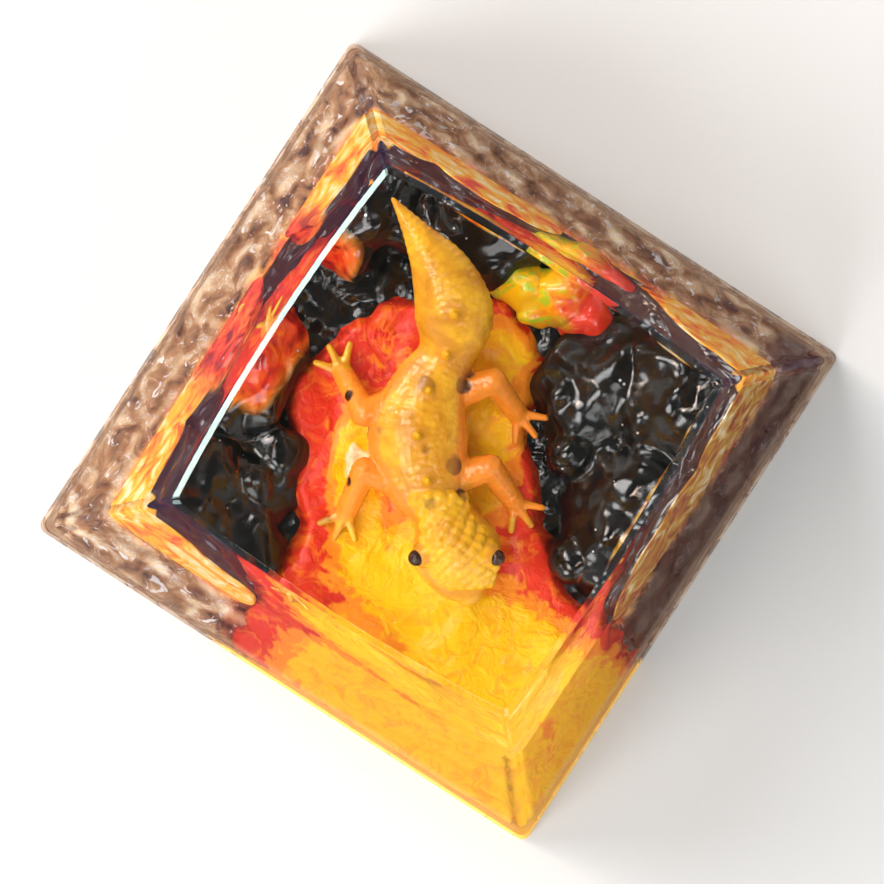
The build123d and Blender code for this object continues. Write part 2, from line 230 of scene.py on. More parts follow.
class KeycapColours(bpy.types.PropertyGroup):
    """Colours of the cast scene."""

    rock_black: colour("Rock black", "Main colour of the rock", (0.003, 0.003, 0.004))
    rock_brown: colour("Rock brown", "Warm patches on the rock", (0.07, 0.04, 0.024))
    # Pale flakes in the rock, and also the colour of the painted white glints on the rock bed's skin
    flake_and_glint: colour("Flake", "Sparkling specks in the rock", (0.85, 0.86, 0.9))
    # Dark end of the rock bed's skin: random dark stain, and painted shade in its creases
    foil_dark_and_crease_shade: colour("Foil dark", "Creases of the rock bed behind the walls", (0.05, 0.027, 0.016))
    foil_brown: colour("Foil brown", "Slopes of the rock bed behind the walls", (0.41, 0.22, 0.1))
    # Pale end of the rock bed's skin: random pale stain, and painted highlight on its ridges
    foil_pale_and_ridge_highlight: colour("Foil silver", "Ridges of the rock bed behind the walls", (0.95, 0.75, 0.5))
    # Darkest red: painted shade where the lava's warmth is lowest along its banks, and random patches in
    # the lava spilt on the rocks
    lava_dark: colour("Lava dark", "Cooled lava in the folds at the banks", (0.25, 0.006, 0.005))
    lava_red: colour("Lava red", "Lava along the banks", (0.74, 0.035, 0.012))
    lava_orange: colour("Lava orange", "Lava between the banks and the middle", (0.95, 0.27, 0.014))
    # Also the painted highlight on the tops of the lizard's warts
    lava_yellow: colour("Lava yellow", "Hot middle of the lava", (1.0, 0.54, 0.004))
    lava_cream: colour("Lava cream", "Palest swirls of the lava", (1.0, 0.85, 0.5))
    splash_lime: colour("Splash lime", "Edges of the splash", (0.5, 0.62, 0.02))
    gold: colour("Gold", "Lizard's head, back and tail", (0.95, 0.5, 0.02))
    # Deep gold: random wash and scale edges, and the painted shade in the grooves round the lizard's
    # warts
    gold_deep: colour("Deep gold", "Shaded paint on the lizard's gold", (0.7, 0.28, 0.012))
    orange: colour("Orange", "Lizard's flanks and legs", (0.95, 0.28, 0.02))
    spot: colour("Spot", "Dark spots on the lizard", (0.05, 0.014, 0.006))
    backing: colour("Backing", "Brown resin with the stem", (0.11, 0.06, 0.032))


class KeycapStage(bpy.types.PropertyGroup):
    """Floor, lamps and camera."""

    floor: colour("Floor", "Pale floor", (0.53, 0.528, 0.522))
    horizon: bpy.props.FloatProperty(
        name="Horizon", description="Strength of the light near the horizon", default=0.5, min=0
    )
    overhead: bpy.props.FloatProperty(
        name="Overhead", description="Strength of the light from straight above", default=0.1, min=0
    )
    key_lamp: power("Key lamp", "Power of the soft lamp at the left", 1.2)
    front_lamp: power("Front lamp", "Power of the soft lamp in front", 0.95)
    right_lamp: power("Right lamp", "Power of the soft lamp at the right", 0.4)
    edge_lamp: power("Edge lamp", "Power of the small lamp that the bevel mirrors", 0.4)
    distance: length("Camera distance", "Camera to the cap's rim", 0.3)


class Number:
    """A number at a socket. Sums of numbers add their own Math nodes."""

    def __init__(self, finish, socket):
        self.finish = finish
        self.socket = socket

    def math(self, operation, *values, clamp=False):
        settings = {"operation": operation, "use_clamp": clamp}
        made = self.finish.node("ShaderNodeMath", settings, dict(enumerate(values)))
        return Number(self.finish, made.outputs[0])

    def __add__(self, other):
        return self.math("ADD", self, other)

    def __sub__(self, other):
        return self.math("SUBTRACT", self, other)

    def __rsub__(self, other):
        return self.math("SUBTRACT", other, self)

    def __mul__(self, other):
        return self.math("MULTIPLY", self, other)

    def __gt__(self, other):
        return self.math("GREATER_THAN", self, other)

    def __abs__(self):
        return self.math("ABSOLUTE", self)

    def held(self):
        return self.math("ADD", self, 0.0, clamp=True)

    __radd__ = __add__
    __rmul__ = __mul__


class Finish:
    """One material. Every node comes from one method, and numbers combine as Python expressions."""

    def __init__(self, name):
        self.material = bpy.data.materials.new(name)
        self.material.use_nodes = True
        self.tree = self.material.node_tree
        self.shader = self.tree.nodes["Principled BSDF"]
        self.place = self.node("ShaderNodeTexCoord").outputs["Object"]

    def feed(self, socket, value):
        if isinstance(value, Number):
            value = value.socket
        if isinstance(value, bpy.types.NodeSocket):
            self.tree.links.new(value, socket)
        elif socket.type == "RGBA":
            socket.default_value = (*value, 1.0)
        else:
            socket.default_value = value

    def node(self, kind, settings=None, sockets=None):
        made = self.tree.nodes.new(kind)
        for key, value in (settings or {}).items():
            if key == "stops":
                elements = made.color_ramp.elements
                while len(elements) < len(value):
                    elements.new(1.0)
                for element, (position, tone) in zip(elements, value):
                    element.position = position
                    element.color = (*tone, 1.0)
            else:
                setattr(made, key, value)
        for key, value in (sockets or {}).items():
            self.feed(made.inputs[key], value)
        return made

    def cloud(self, size, detail=4.0, distortion=0.0, at=None):
        """Soft noise from 0 to 1, with features of about the size given."""
        sockets = {"Vector": at or self.place, "Scale": 1 / size}
        sockets |= {"Detail": detail, "Distortion": distortion}
        return Number(self, self.node("ShaderNodeTexNoise", None, sockets).outputs["Fac"])

    def cells(self, size):
        """Cells of about the size given: the distance from their middles, and their random colours."""
        made = self.node("ShaderNodeTexVoronoi", None, {"Vector": self.place, "Scale": 1 / size})
        return Number(self, made.outputs["Distance"]), made.outputs["Color"]

    def spread(self, value, low, high):
        """The part of a number between two limits, as 0 to 1."""
        made = self.node("ShaderNodeMapRange", None, {"Value": value, "From Min": low, "From Max": high})
        return Number(self, made.outputs["Result"])

    def channel(self, vector, index):
        """One of the three parts of a vector or a colour."""
        return Number(self, self.node("ShaderNodeSeparateXYZ", None, {0: vector}).outputs[index])

    def mix(self, share, first, second):
        made = self.node("ShaderNodeMix", {"data_type": "RGBA"}, {0: share, 6: first, 7: second})
        return made.outputs[2]

    def ramp(self, value, stops):
        return self.node("ShaderNodeValToRGB", {"stops": stops}, {0: value}).outputs["Color"]

    def attribute(self, name):
        return Number(self, self.node("ShaderNodeAttribute", {"attribute_name": name}).outputs["Fac"])

    def bump(self, height, distance, strength):
        sockets = {"Height": height, "Distance": distance, "Strength": strength}
        return self.node("ShaderNodeBump", None, sockets).outputs["Normal"]

    def done(self, **sockets):
        """Feeds the shader: underscores in the names stand for spaces."""
        for key, value in sockets.items():
            self.feed(self.shader.inputs[key.replace("_", " ")], value)
        return self.material


def colours():
    return bpy.context.scene.keycap_colours


def blend_step(value, low, high):
    """Smooth step from 0 to 1 between two limits."""
    share = min(1.0, max(0.0, (value - low) / (high - low)))
    return share * share * (3 - 2 * share)


class CapForm:
    """The cap's outer form, from its sizes."""

    def __init__(self):
        form = bpy.context.scene.keycap_sizes
        self.base_half = form.base_side / 2
        self.height = form.height
        self.slope = (form.base_side - form.top_side) / 2 / form.height
        self.base_corner = form.base_corner
        self.corner_gain = (form.top_corner - form.base_corner) / (form.height + form.dish_depth)
        self.bow_gain = form.top_bow / (form.height + form.dish_depth)
        self.bevel = form.edge_bevel
        self.inner = 1 - form.edge_bevel / (form.top_side / 2)
        self.skin = form.clear_skin
        self.lava_level = ROCK_TOP + form.lava_rise
        reach = sqrt(2) * (form.top_side / 2 - form.top_corner) + form.top_corner
        self.dish_radius = (reach**2 + form.dish_depth**2) / (2 * form.dish_depth)
        self.dish_centre = form.height - form.dish_depth + self.dish_radius

    def half_width(self, z, inset=0.0):
        return self.base_half - self.slope * z - inset

    def dish(self, x, y):
        return self.dish_centre - sqrt(self.dish_radius**2 - x * x - y * y)

    def wall(self, u, w, z, inset=0.0):
        """Place over the plan square u, w at a height: on the wall where u or w is 1, else inside it."""
        reach = max(abs(u), abs(w), 1e-6)
        half = self.half_width(z, inset) * reach
        corner = (self.base_corner + self.corner_gain * z) * reach
        x = u / reach * half
        y = w / reach * half
        inner_x = min(max(x, corner - half), half - corner)
        inner_y = min(max(y, corner - half), half - corner)
        off_x = x - inner_x
        off_y = y - inner_y
        push = sqrt(off_x * off_x + off_y * off_y)
        if push > 0:
            push = corner / push
        bow = self.bow_gain * z
        x = inner_x + off_x * push + bow * u * (1 - w * w)
        y = inner_y + off_y * push + bow * w * (1 - u * u)
        return Vector((x, y, z))

    def kept_inside(self, spot, inset, lowest):
        """The place moved, where needed, to stay inside the walls and above a height."""
        spot.z = max(spot.z, lowest)
        room = self.half_width(spot.z, inset)
        spot.x = min(max(spot.x, -room), room)
        spot.y = min(max(spot.y, -room), room)
        return spot


def wrapped_sheet(segments, rows, shape, ease):
    """Grid over the cap's plan, eased towards its edges, with its border drawn down the walls by rows."""
    bm = bmesh.new()
    bmesh.ops.create_grid(bm, x_segments=segments, y_segments=segments, size=1)
    along = bm.verts.layers.float.new("along")
    across = bm.verts.layers.float.new("across")
    depth = bm.verts.layers.float.new("depth")
    for vert in bm.verts:
        vert[along] = (1 - ease) * vert.co.x + ease * sin(vert.co.x * pi / 2)
        vert[across] = (1 - ease) * vert.co.y + ease * sin(vert.co.y * pi / 2)
    border = [edge for edge in bm.edges if edge.is_boundary]
    for row in range(1, rows + 1):
        made = bmesh.ops.extrude_edge_only(bm, edges=border)["geom"]
        border = [item for item in made if isinstance(item, bmesh.types.BMEdge) and item.is_boundary]
        for item in made:
            if isinstance(item, bmesh.types.BMVert):
                item[depth] = row
    for vert in bm.verts:
        vert.co = shape(vert[along], vert[across], round(vert[depth]))
    return bm, border


def piece(name, shape, material, node=None):
    """Object from a bmesh or a mesh, smooth, riding on the cap's one body."""
    mesh = shape
    if isinstance(shape, bmesh.types.BMesh):
        bmesh.ops.recalc_face_normals(shape, faces=shape.faces)
        mesh = bpy.data.meshes.new(name)
        shape.to_mesh(mesh)
        shape.free()
    mesh.shade_smooth()
    mesh.materials.clear()
    mesh.materials.append(material)
    made = bpy.data.objects.new(name, mesh)
    bpy.context.scene.collection.objects.link(made)
    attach(made, "root")
    if node:
        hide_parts(node)
    return made


def egg(bm, place, half, stand=Matrix(), turn=0.0, steps=4):
    """Egg-shaped lump: its centre and half sizes in millimetres."""
    size = Matrix.Diagonal((*(s * MM for s in half), 1))
    spot = Matrix.Translation(Vector(place) * MM) @ Matrix.Rotation(turn, 4, "Z")
    bmesh.ops.create_icosphere(bm, subdivisions=steps, radius=1, matrix=stand @ spot @ size)


def grown_together(name, bm, voxel, softened=0):
    """Overlapping lumps as one closed skin, softened where they meet."""
    mesh = bpy.data.meshes.new(name)
    bm.to_mesh(mesh)
    bm.free()
    lumps = bpy.data.objects.new(name + "_lumps", mesh)
    bpy.context.scene.collection.objects.link(lumps)
    remesh = lumps.modifiers.new("skin", "REMESH")
    remesh.mode = "VOXEL"
    remesh.voxel_size = voxel
    soft = lumps.modifiers.new("soft", "SMOOTH")
    soft.iterations = softened
    graph = bpy.context.evaluated_depsgraph_get()
    skin = bpy.data.meshes.new_from_object(lumps.evaluated_get(graph))
    bpy.data.objects.remove(lumps)
    return skin


def heaved(mesh, height, settle):
    """Moves each point of a mesh along its normal by a height, then lets it settle in its room."""
    normals = [normal.vector.copy() for normal in mesh.vertex_normals]
    places = [vert.co.copy() for vert in mesh.vertices]
    for vert, place, normal in zip(mesh.vertices, places, normals):
        vert.co = settle(place + normal * height(place))


def pit(side, point, row):
    """Depth of one point of the rock bed's crumpled sides, from 0 to 1: peaks and pits alternate."""
    if point in (0, FOLD_POINTS):
        return 0.4
    return 0.65 * ((point + row) % 2) + 0.35 * (1 + sin(2.4 * point + 1.9 * row + 1.3 * side)) / 2


def folds(u, w, z):
    """Depth of the rock bed's side between the peaks and pits around a place, from 0 to 1."""
    side, along = 3, u
    if u >= abs(w):
        side, along = 0, w
    elif w >= abs(u):
        side, along = 1, -u
    elif -u >= abs(w):
        side, along = 2, -w
    across = (along + 1) / 2 * FOLD_POINTS
    rise = min(max((z - SCENE_LOW) / (ROCK_TOP - SCENE_LOW), 0.0), 1.0) * (FOLD_ROWS - 1)
    point = min(int(across), FOLD_POINTS - 1)
    row = min(int(rise), FOLD_ROWS - 2)
    s = blend_step(across - point, 0, 1)
    t = blend_step(rise - row, 0, 1)
    lower = pit(side, point, row) * (1 - s) + pit(side, point + 1, row) * s
    upper = pit(side, point, row + 1) * (1 - s) + pit(side, point + 1, row + 1) * s
    return lower * (1 - t) + upper * t


def smooth_line(points, steps=8):
    """Points along a smooth curve through the points given."""
    line = []
    ends = [points[0], *points, points[-1]]
    for a, b, c, d in zip(ends, ends[1:], ends[2:], ends[3:]):
        a, b, c, d = (np.array(p, float) for p in (a, b, c, d))
        bend = a - 2.5 * b + 2 * c - d / 2
        twist = 1.5 * (b - c) + (d - a) / 2
        for k in range(steps):
            t = k / steps
            line.append(b + (c - a) * t / 2 + bend * t**2 + twist * t**3)
    line.append(np.array(points[-1], float))
    return np.array(line)


def line_distance(places, line):
    """Distance from each plan place to a line of points."""
    best = np.full(len(places), 1e9)
    for a, b in zip(line, line[1:]):
        along = b - a
        share = np.clip(((places - a) @ along) / max(along @ along, 1e-12), 0, 1)
        best = np.minimum(best, np.linalg.norm(places - a - share[:, None] * along, axis=1))
    return best


def inside_banks(places, line):
    """How far each plan place is inside the lava's banks, in millimetres, negative outside."""
    inside = np.zeros(len(places), bool)
    loop = np.vstack([line, [LAVA_CORNER]])
    for a, b in zip(loop, np.roll(loop, -1, axis=0)):
        level = (a[1] > places[:, 1]) != (b[1] > places[:, 1])
        with np.errstate(divide="ignore", invalid="ignore"):
            cross = a[0] + (places[:, 1] - a[1]) * (b[0] - a[0]) / (b[1] - a[1])
        inside ^= level & (places[:, 0] < cross)
    return np.where(inside, 1, -1) * line_distance(places, line)


def rock_finish():
    """Glossy black cast rock with warm patches and a few bright flakes, tinted by lava at the walls, with
    the flank tint halved at the right wall as painted shade.
    """
    tone = colours()
    finish = Finish("glossy rock")
    patch = finish.spread(finish.cloud(1.6 * MM, 4), 0.52, 0.72).held()
    far, tints = finish.cells(0.17 * MM)
    chance = finish.channel(tints, 0)
    speck = (chance > 0.98) * finish.spread(far, 0.3, 0.2).held()
    base = finish.mix(patch * 0.18, tone.rock_black, tone.rock_brown)
    flow = finish.cloud(1.0 * MM, 4, 1.2)
    stops = [(0.3, tone.lava_red), (0.42, tone.lava_orange), (0.53, tone.gold), (0.7, tone.lava_cream)]
    glazed = finish.ramp(flow, stops)
    spilt = finish.ramp(flow, [(0.38, tone.lava_dark), (0.5, tone.lava_red), (0.78, tone.lava_orange)])
    tint = finish.mix(finish.attribute("spill"), glazed, spilt)
    reach = finish.attribute("flank") + finish.attribute("spill")
    share = finish.spread(reach + (flow - 0.5) * 0.5, 0.3, 0.7).held()
    base = finish.mix(share, base, tint)
    base = finish.mix(speck, base, tone.flake_and_glint)
    normal = finish.bump(finish.cloud(0.8 * MM, 2, 0.4), 0.06 * MM, 0.4)
    rough = 0.1 + finish.cloud(0.9 * MM, 3) * 0.16
    return finish.done(
        Base_Color=base,
        Roughness=rough,
        Metallic=speck * 0.5,
        Normal=normal,
        Coat_Weight=0.2,
        Coat_Roughness=0.04,
    )


def upright(finish):
    """Places squeezed in height, so that what is drawn from them stands tall on the walls."""
    squeeze = {0: finish.place, 1: (1.0, 1.0, 0.28)}
    return finish.node("ShaderNodeVectorMath", {"operation": "MULTIPLY"}, squeeze).outputs[0]


def skin_with_painted_glints(finish, tone, tall, ridge):
    """Brown, crumpled skin, darker in its creases as painted shade and paler on its ridges as painted
    highlight, with painted white glints: its colour, how much painted light it has and its relief.
    """
    stain = finish.cloud(0.75 * MM, 4, 0.8, tall)
    # Painted light: random stain, lifted on the ridges, picks painted shade in the creases and painted
    # highlight on the ridges
    lit = finish.spread(stain + ridge * 0.25, 0.42, 0.85).held()
    skin = finish.ramp(lit, [(0.0, tone.foil_dark_and_crease_shade), (0.45, tone.foil_brown), (1.0, tone.foil_pale_and_ridge_highlight)])
    gloss = finish.cloud(0.5 * MM, 2, 1.4, tall)
    # Painted glints: white blobs and thin white lines painted onto the skin in place of reflections
    painted_glint = finish.spread(gloss, 0.62, 0.69).held()
    line = finish.spread(abs(gloss - 0.44), 0.022, 0.006).held() * finish.spread(stain, 0.5, 0.56).held()
    skin = finish.mix((painted_glint * 0.85 + line * 0.8).held(), skin, tone.flake_and_glint)
    return skin, lit, stain * 0.6 + gloss * 0.4


def foil_finish():
    """Rock bed: black on top, with a brown skin against the clear walls that lava seeps into; the skin
    carries painted glints, painted shade in its creases and painted highlight on its ridges, and turns
    black towards the right wall as painted shade.
    """
    tone = colours()
    finish = Finish("crumpled rock")
    side = finish.attribute("side")
    tall = upright(finish)
    skin, lit, relief = skin_with_painted_glints(finish, tone, tall, finish.attribute("ridge"))
    height = finish.channel(finish.place, 2)
    glow = finish.spread(height + (relief - 0.5) * 4.0 * MM, 4.8 * MM, 6.2 * MM).held()
    trickle = finish.cloud(0.8 * MM, 4, 1.0, tall)
    seep = finish.ramp(trickle, [(0.36, tone.lava_red), (0.5, tone.lava_orange), (0.62, tone.gold)])
    # Painted shade: the skin turns black towards the right wall
    right = finish.channel(finish.place, 0)
    shade = finish.spread(right, 6.4 * MM, 7.4 * MM).held()
    skin = finish.mix(shade * 0.85, skin, tone.rock_black)
    base = finish.mix(side, tone.rock_black, finish.mix(glow * 0.9, skin, seep))
    normal = finish.bump(relief, 0.1 * MM, 0.5)
    shine = side * (0.1 + lit * 0.35) * (1 - glow * 0.9)
    return finish.done(Base_Color=base, Roughness=0.12 + relief * 0.16, Metallic=shine, Normal=normal)


def lava_finish():
    """Poured lava: red banks with painted shade in darkest red at their edges, orange, a yellow middle,
    pale swirls and darker wrinkles.
    """
    tone = colours()
    finish = Finish("poured lava")
    tall = upright(finish)
    warp = finish.cloud(1.2 * MM, 3, 1.6, tall)
    fine = finish.cloud(0.35 * MM, 4, 0.8, tall)
    heat = (finish.attribute("warmth") + (warp - 0.5) * 0.55 + (fine - 0.5) * 0.2).held()
    stops = [
        # Painted shade: darkest red where the warmth is lowest, along the banks
        (0.0, tone.lava_dark),
        (0.12, tone.lava_red),
        (0.38, tone.lava_red),
        (0.45, tone.lava_orange),
        (0.57, tone.lava_orange),
        (0.65, tone.lava_yellow),
        (0.92, tone.lava_yellow),
        (1.0, tone.lava_cream),
    ]
    base = finish.ramp(heat, stops)
    wrinkle = finish.cloud(0.9 * MM, 3, 1.0, tall)
    vein = finish.spread(abs(wrinkle - 0.5), 0.09, 0.0).held() * finish.spread(warp, 0.42, 0.58).held()
    base = finish.mix(vein * 0.55, base, tone.lava_orange)
    normal = finish.bump(warp * 0.5 + fine * 0.25 + abs(wrinkle - 0.5) * 0.8, 0.22 * MM, 0.85)
    rough = 0.14 + fine * 0.2
    return finish.done(
        Base_Color=base,
        Roughness=rough,
        Normal=normal,
        Specular_IOR_Level=0.2,
        Coat_Weight=0.08,
        Coat_Roughness=0.05,
    )


def splash_finish():
    """Yellow splash with lime edges that runs into red."""
    tone = colours()
    finish = Finish("splash")
    along = finish.channel(finish.place, 0)
    swirl = finish.cloud(0.9 * MM, 3, 1.5)
    share = finish.spread(along * (1 / MM) + (swirl - 0.5) * 2.4, 0.1, 1.4)
    yellow = finish.ramp(swirl, [(0.42, tone.splash_lime), (0.52, tone.lava_yellow)])
    base = finish.mix(share.held(), yellow, tone.lava_red)
    normal = finish.bump(finish.cloud(0.5 * MM, 3), 0.05 * MM, 0.4)
    return finish.done(
        Base_Color=base,
        Roughness=0.15 + swirl * 0.15,
        Normal=normal,
        Coat_Weight=0.15,
        Coat_Roughness=0.05,
    )


def lizard_finish():
    """Painted gold over orange, with small dark spots and fine scales; the warts' tops are bright yellow
    as a painted highlight, and the grooves round them deep gold as a paint wash and painted shade.
    """
    tone = colours()
    finish = Finish("lizard paint")
    wash = finish.cloud(0.9 * MM, 4, 0.5)
    share = finish.spread(finish.attribute("gilt") + (wash - 0.5) * 0.35, 0.35, 0.65).held()
    scales, _ = finish.cells(0.2 * MM)
    gold = finish.mix(finish.spread(wash, 0.35, 0.65).held(), tone.gold_deep, tone.gold)
    base = finish.mix(share, tone.orange, gold)
    # Paint wash and painted shade: deep gold in the grooves round the warts
    base = finish.mix(finish.attribute("groove") * 0.75, base, tone.gold_deep)
    # Painted highlight: the warts' tops turn bright yellow
    base = finish.mix(finish.attribute("warted") * 0.7, base, tone.lava_yellow)
    base = finish.mix(finish.spread(scales, 0.4, 0.8).held() * 0.3, base, tone.gold_deep)
    spots, _ = finish.cells(1.05 * MM)
    spot = finish.spread(spots + (wash - 0.5) * 0.2, 0.3, 0.24).held()
    base = finish.mix(spot * finish.attribute("spotted"), base, tone.spot)
    normal = finish.bump(1 - scales, 0.05 * MM, 0.45)
    rough = 0.16 + wash * 0.16
    return finish.done(
        Base_Color=base,
        Roughness=rough,
        Normal=normal,
        Specular_IOR_Level=0.45,
        Coat_Weight=0.15,
        Coat_Roughness=0.06,
    )


def eye_finish():
    """Dark glossy bead."""
    tone = colours()
    finish = Finish("lizard eye")
    depth = finish.cloud(0.3 * MM, 2)
    shine = finish.mix(depth * 0.4, tone.spot, tone.rock_black)
    return finish.done(Base_Color=shine, Roughness=0.06 + depth * 0.04)


def resin_finish():
    """Clear casting resin, faintly wavy, with a thin film that keeps glare off its steep walls."""
    finish = Finish("clear resin")
    wave = finish.cloud(2.4 * MM, 2)
    normal = finish.bump(wave, 0.03 * MM, 0.25)
    return finish.done(
        Base_Color=(0.985, 0.98, 0.965),
        Roughness=0.012,
        IOR=1.5,
        Transmission_Weight=1.0,
        Thin_Film_Thickness=243.0,
        Thin_Film_IOR=1.1,
        Normal=normal,
    )


def backing_finish():
    """Brown resin like the rock above it, with the same painted white glints, and yellow where the lava
    runs down to it.
    """
    tone = colours()
    finish = Finish("backing resin")
    skin, lit, relief = skin_with_painted_glints(finish, tone, finish.place, finish.cloud(1.6 * MM, 3))
    right = finish.channel(finish.place, 0)
    front = finish.channel(finish.place, 1)
    corner = right - front * 1.66 + (relief - 0.5) * 4 * MM
    poured = finish.spread(corner, 12.2 * MM, 13.2 * MM).held()
    base = finish.mix(poured, finish.mix(0.5, skin, tone.backing), tone.gold)
    normal = finish.bump(relief, 0.02 * MM, 0.4)
    return finish.done(Base_Color=base, Roughness=0.2 + lit * 0.2, Normal=normal)


class KEYCAP_OT_resin_block(bpy.types.Operator):
    """Clear block with the cap's outer form, closed inside the wall and roof of the backing"""

    bl_idname = "keycap.resin_block"
    bl_label = "Resin block"

    def execute(self, context):
        cap = CapForm()
        low = BLOCK_LOW
        bevel_steps = (0.05, 0.1, 0.5, 0.9, 0.95, 1.0)
        bevel_rows = len(bevel_steps)
        wall_rows = 12
        # Plan distance from the walls and height of each row that lies inside the backing
        hidden = [(0.02 * MM, low), (0.05 * MM, low - 0.05 * MM), (RESIN_TUCK, low - 0.15 * MM)]
        hidden += [(RESIN_TUCK, low + (TUCK_TOP - low) * k / 4) for k in range(1, 5)]

        def crest(u, w):
            point = cap.wall(u, w, cap.height)
            for _ in range(4):
                point = cap.wall(u, w, cap.dish(point.x, point.y))
            return point

        def dish_point(u, w, z):
            flat = cap.wall(u * cap.inner, w * cap.inner, z)
            flat.z = cap.dish(flat.x, flat.y)
            return flat

        def shape(u, w, row):
            reach = max(abs(u), abs(w), 1e-6)
            edge = crest(u / reach, w / reach)
            if row == 0:
                return dish_point(u, w, edge.z)
            below = cap.wall(u, w, edge.z - cap.bevel)
            if row <= bevel_rows:
                return dish_point(u, w, edge.z).lerp(below, bevel_steps[row - 1])
            row -= bevel_rows
            if row <= wall_rows:
                fall = (row / wall_rows) ** 1.6
                return cap.wall(u, w, below.z + (low + 0.03 * MM - below.z) * fall)
            inset, z = hidden[row - wall_rows - 1]
            return cap.wall(u, w, z, inset)

        bm, border = wrapped_sheet(72, bevel_rows + wall_rows + len(hidden), shape, ease=0.8)
        bmesh.ops.edgeloop_fill(bm, edges=border)
        piece("resin_block", bm, resin_finish(), "clear_body")
        return {"FINISHED"}


class KEYCAP_OT_backing(bpy.types.Operator):
    """Brown backing with the switch socket, as the solids have it"""

    bl_idname = "keycap.backing"
    bl_label = "Backing"

    def execute(self, context):
        material = backing_finish()
        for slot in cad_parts["stem_base"].material_slots:
            slot.material = material
        return {"FINISHED"}


class KEYCAP_OT_rock_bed(bpy.types.Operator):
    """Crumpled rock that fills the cap behind its clear walls"""

    bl_idname = "keycap.rock_bed"
    bl_label = "Rock bed"

    def execute(self, context):
        cap = CapForm()
        rows = WALL_ROWS

        def fine(place):
            tall = Vector((place.x / 0.45, place.y / 0.45, place.z / 1.5)) / MM
            return 0.5 + 0.5 * noise.noise(tall)

        def shape(u, w, row):
            if row == 0:
                spot = cap.wall(u, w, ROCK_TOP, cap.skin + 0.25 * MM)
                spot.z -= 0.35 * MM * fine(spot)
                return spot
            if row == rows + 1:
                return cap.wall(u, w, SCENE_LOW, BED_TUCK)
            if row == rows + 2:
                return cap.wall(u, w, TUCK_TOP, BED_TUCK)
            return cap.wall(u, w, ROCK_TOP + (SCENE_LOW - ROCK_TOP) * (row - 1) / (rows - 1), cap.skin)

        bm, border = wrapped_sheet(130, rows + 2, shape, ease=0.2)
        bmesh.ops.edgeloop_fill(bm, edges=border)
        depth = bm.verts.layers.float["depth"]
        along = bm.verts.layers.float["along"]
        across = bm.verts.layers.float["across"]
        side = bm.verts.layers.float.new("side")
        ridge = bm.verts.layers.float.new("ridge")
        plan = np.array([vert.co.xy for vert in bm.verts]) / MM
        for vert, inside in zip(bm.verts, inside_banks(plan, smooth_line(LAVA_BANKS))):
            back = folds(vert[along], vert[across], vert.co.z)
            vert[side] = min(1.0, vert[depth] / 2)
            vert[ridge] = 1 - back
            if 1 <= round(vert[depth]) <= rows:
                under_lava = blend_step(inside, -0.5, 0.1)
                inset = FOLD_DEPTH * back + (0.16 * fine(vert.co) + 0.5 * under_lava) * MM
                vert.co = cap.wall(vert[along], vert[across], vert.co.z, cap.skin + inset)
        piece("crumpled_rock", bm, foil_finish(), "rock_bed")
        return {"FINISHED"}


class KEYCAP_OT_rocks(bpy.types.Operator):
    """Three glossy rocks in the corners"""

    bl_idname = "keycap.rocks"
    bl_label = "Rocks"

    def execute(self, context):
        cap = CapForm()
        material = rock_finish()

        def swell(place):
            broad = 0.3 * noise.noise(place / (1.3 * MM))
            return (broad + 0.06 * noise.noise(place / (0.5 * MM)) + 0.02) * MM

        def settle(place):
            return cap.kept_inside(place, cap.skin + ROCK_GAP, ROCK_TOP - SINK * MM)

        def wall_side(place, normal):
            """How far a place is on the flank towards the wall, from 0 to 1, halved at the right wall as
            painted shade.
            """
            x, y, z = place
            tilt = normal.y * copysign(1, y)
            if abs(x) > abs(y):
                tilt = normal.x * copysign(1, x)
            out = max(abs(x), abs(y))
            room = cap.half_width(z, cap.skin) - out
            steep = blend_step(tilt, 0.55, 0.8) * blend_step(out, 4.8 * MM, 5.6 * MM)
            # Painted shade: the lava tint on the flanks is halved at the right wall, so the rock stays
            # darker there
            shade = 0.5 if x > abs(y) else 1.0
            return max(steep, blend_step(room, 0.45 * MM, 0.2 * MM)) * shade

        def spilt(place):
            """Share of lava that has spilt over the rocks in the middle of the left wall."""
            beside = blend_step(place.y, -3.2 * MM, -1.8 * MM) * blend_step(place.y, 4.4 * MM, 3.0 * MM)
            return beside * blend_step(place.x, -4.9 * MM, -5.7 * MM)

        for name, lumps in ROCKS.items():
            bm = bmesh.new()
            for (x, y, z), half in lumps:
                egg(bm, (x, y, z + ROCK_TOP / MM), half)
            mesh = grown_together(name, bm, voxel=0.075 * MM, softened=14)
            heaved(mesh, swell, settle)
            flank = mesh.attributes.new("flank", "FLOAT", "POINT")
            spill = mesh.attributes.new("spill", "FLOAT", "POINT")
            for k, (vert, normal) in enumerate(zip(mesh.vertices, mesh.vertex_normals)):
                flank.data[k].value = wall_side(vert.co, normal.vector)
                spill.data[k].value = spilt(vert.co)
            piece(name + "_stone", mesh, material, name)
        return {"FINISHED"}


